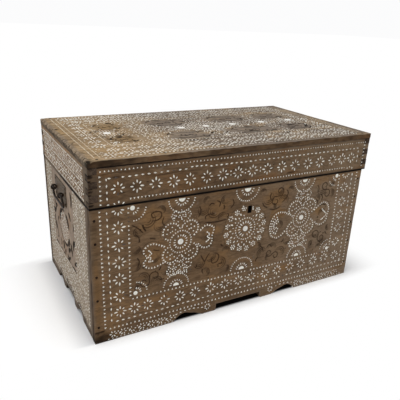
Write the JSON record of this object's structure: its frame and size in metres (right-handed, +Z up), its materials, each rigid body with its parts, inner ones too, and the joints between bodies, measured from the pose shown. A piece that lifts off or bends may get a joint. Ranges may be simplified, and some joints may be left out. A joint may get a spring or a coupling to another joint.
{
  "type": "inlaid dowry chest",
  "caption": "Walnut chest with a hinged box lid, scalloped apron, rim lock, strap hinges and bail handles, inlaid all over with pearl and bone chips.",
  "frame": {"origin": "on the floor, under the middle of the whole chest", "axes": "+X along the front to the right, +Y from the front to the back, +Z up"},
  "size_m": [0.7528, 0.4214, 0.404],
  "materials": {
    "inlaid_walnut": "worn dry walnut with carved scrolls and pearl chips let in",
    "inner_wood": "unfinished softwood gone brown",
    "pearl": "polished mother of pearl, a little worn",
    "bone_string": "pale bone, matt",
    "aged_iron": "forged iron, dark and rusty",
    "lock_iron": "filed iron, rubbed where it slides"
  },
  "bodies": {
    "chest": {"front_board": "inlaid_walnut", "back_board": "inlaid_walnut", "left_end_board": "inlaid_walnut", "right_end_board": "inlaid_walnut", "floor_plank_front": "inner_wood", "floor_plank_back": "inner_wood", "floor_cleat_front": "inner_wood", "floor_cleat_back": "inner_wood", "floor_cleat_left": "inner_wood", "floor_cleat_right": "inner_wood", "front_corner_nails": "aged_iron", "back_corner_nails": "aged_iron", "floor_nails": "aged_iron", "front_pearls": "pearl", "left_handle_plate": "aged_iron", "right_handle_plate": "aged_iron", "left_handle_staples": "aged_iron", "right_handle_staples": "aged_iron", "left_handle_nails": "aged_iron", "right_handle_nails": "aged_iron", "lock_plate": "aged_iron", "lock_case": "aged_iron", "lock_bolt_keepers": "aged_iron", "lock_key_post": "lock_iron", "lock_ward": "aged_iron", "lock_spring": "lock_iron", "lock_nails": "aged_iron", "left_hinge_body_strap": "aged_iron", "right_hinge_body_strap": "aged_iron", "left_hinge_pin": "aged_iron", "right_hinge_pin": "aged_iron", "hinge_body_nails": "aged_iron"},
    "lid": {"lid_top": "inlaid_walnut", "lid_front_rail": "inlaid_walnut", "lid_back_rail": "inlaid_walnut", "lid_left_rail": "inlaid_walnut", "lid_right_rail": "inlaid_walnut", "lid_top_nails": "aged_iron", "lid_strings": "bone_string", "lid_pearls": "pearl", "lock_staple": "aged_iron", "lock_staple_nails": "aged_iron", "left_hinge_lid_strap": "aged_iron", "right_hinge_lid_strap": "aged_iron", "hinge_lid_nails": "aged_iron"},
    "left_bail": {"left_bail": "aged_iron"},
    "right_bail": {"right_bail": "aged_iron"},
    "lock_bolt": {"lock_bolt": "lock_iron"}
  },
  "joints": [
    {"name": "lid_hinge", "type": "hinge", "parent": "chest", "child": "lid", "pos_m": [0, 0.2062, 0.309], "axis": [-1, 0, 0], "range_deg": [0, 100]},
    {"name": "left_bail_swing", "type": "hinge", "parent": "chest", "child": "left_bail", "pos_m": [-0.369, 0.0233, 0.2705], "axis": [0, 1, 0], "range_deg": [-2, 178]},
    {"name": "right_bail_swing", "type": "hinge", "parent": "chest", "child": "right_bail", "pos_m": [0.369, 0.0233, 0.2705], "axis": [0, -1, 0], "range_deg": [-2, 178]},
    {"name": "bolt_throw", "type": "slide", "parent": "chest", "child": "lock_bolt", "axis": [-1, 0, 0], "range_m": [0, 0.01]}
  ]
}
